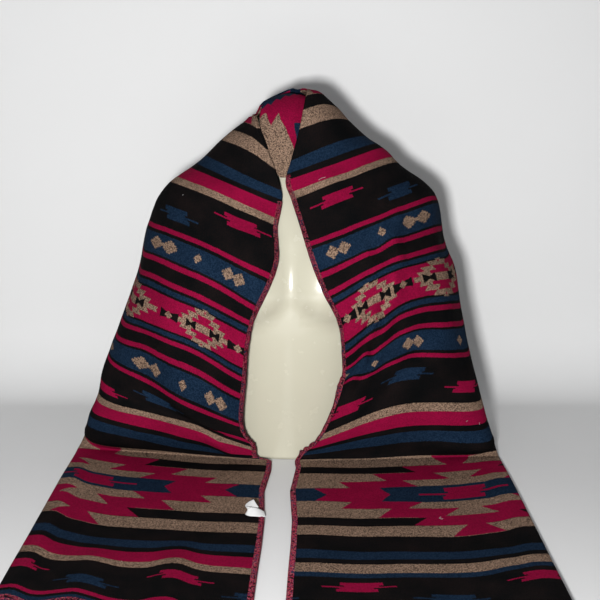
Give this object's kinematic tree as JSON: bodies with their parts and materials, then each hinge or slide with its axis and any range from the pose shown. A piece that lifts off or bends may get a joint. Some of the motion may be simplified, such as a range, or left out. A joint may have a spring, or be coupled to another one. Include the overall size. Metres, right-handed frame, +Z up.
{
  "type": "shawl on a dress form",
  "caption": "Woven striped shawl folded lengthwise, draped over a limbless dress form, both ends laid forward on the table.",
  "frame": {"origin": "middle of the dress form's flat base, on the table", "axes": "+Z up, -Y towards the viewer, where the two ends of the shawl lie, +X to the viewer's right"},
  "size_m": [0.5653, 0.617, 0.4815],
  "materials": {
    "shawl": "brushed matte twill, lengthwise run of crimson, navy, tan and black bands with stepped diamonds",
    "form": "smooth glossy cream",
    "ribbon": "blank white satin ribbon"
  },
  "bodies": {
    "root": {"dress_form": "form", "neck_fold": "shawl", "left_front": "shawl", "right_front": "shawl", "left_end": "shawl", "right_end": "shawl", "care_label": "ribbon"}
  },
  "joints": []
}
